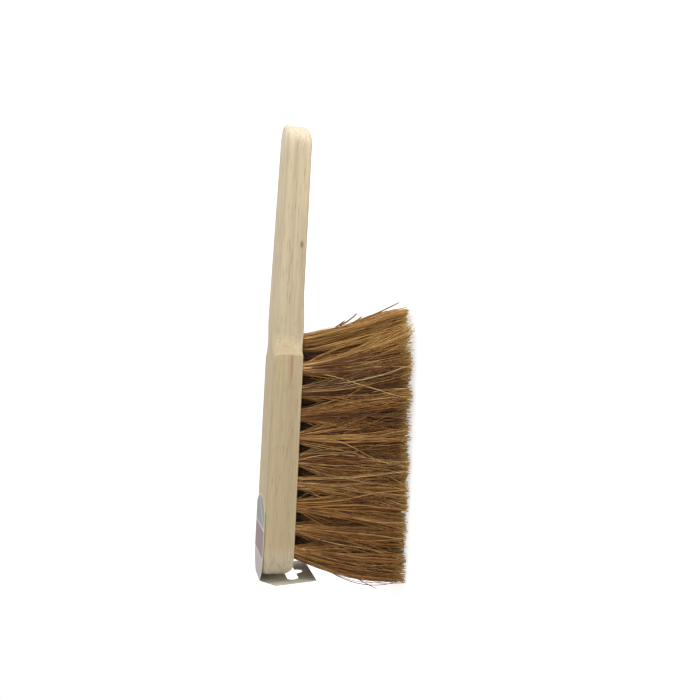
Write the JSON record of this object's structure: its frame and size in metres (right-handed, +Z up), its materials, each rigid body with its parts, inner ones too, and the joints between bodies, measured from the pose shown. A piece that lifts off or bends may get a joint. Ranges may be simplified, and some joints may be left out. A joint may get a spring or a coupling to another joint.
{
  "type": "hand broom",
  "caption": "Hand broom: a wooden stock shaped into head and handle, staggered rows of fanned coir tufts set in drilled holes, and a folding card hang tab at the free end.",
  "frame": {"origin": "middle of the overall box, on the plane of the trimmed fibre tips", "axes": "+Z up from the tips to the back of the stock, +X along the stock towards the handle's end, symmetric about the XZ plane"},
  "size_m": [0.2852, 0.0592, 0.088],
  "materials": {
    "wood": "sanded, unlacquered",
    "coir": "loose natural fibre",
    "wire": "bright flat wire",
    "card": "coated on one side"
  },
  "bodies": {
    "broom": {"stock": "wood", "tuft_left_outer_1": "coir", "tuft_left_outer_2": "coir", "tuft_left_outer_3": "coir", "tuft_left_outer_4": "coir", "tuft_left_outer_5": "coir", "tuft_left_outer_6": "coir", "tuft_left_outer_7": "coir", "tuft_left_outer_8": "coir", "tuft_left_outer_9": "coir", "tuft_left_inner_1": "coir", "tuft_left_inner_2": "coir", "tuft_left_inner_3": "coir", "tuft_left_inner_4": "coir", "tuft_left_inner_5": "coir", "tuft_left_inner_6": "coir", "tuft_left_inner_7": "coir", "tuft_left_inner_8": "coir", "tuft_left_inner_9": "coir", "tuft_left_inner_10": "coir", "tuft_right_inner_1": "coir", "tuft_right_inner_2": "coir", "tuft_right_inner_3": "coir", "tuft_right_inner_4": "coir", "tuft_right_inner_5": "coir", "tuft_right_inner_6": "coir", "tuft_right_inner_7": "coir", "tuft_right_inner_8": "coir", "tuft_right_inner_9": "coir", "tuft_right_inner_10": "coir", "tuft_right_outer_1": "coir", "tuft_right_outer_2": "coir", "tuft_right_outer_3": "coir", "tuft_right_outer_4": "coir", "tuft_right_outer_5": "coir", "tuft_right_outer_6": "coir", "tuft_right_outer_7": "coir", "tuft_right_outer_8": "coir", "tuft_right_outer_9": "coir", "tuft_staples": "wire", "label_panel": "card"},
    "tab": {"hang_tab": "card"}
  },
  "joints": [
    {"name": "tab_fold", "type": "hinge", "parent": "broom", "child": "tab", "pos_m": [-0.14238, 0, 0.08775], "axis": [0, 1, 0], "range_deg": [0, 96]}
  ]
}
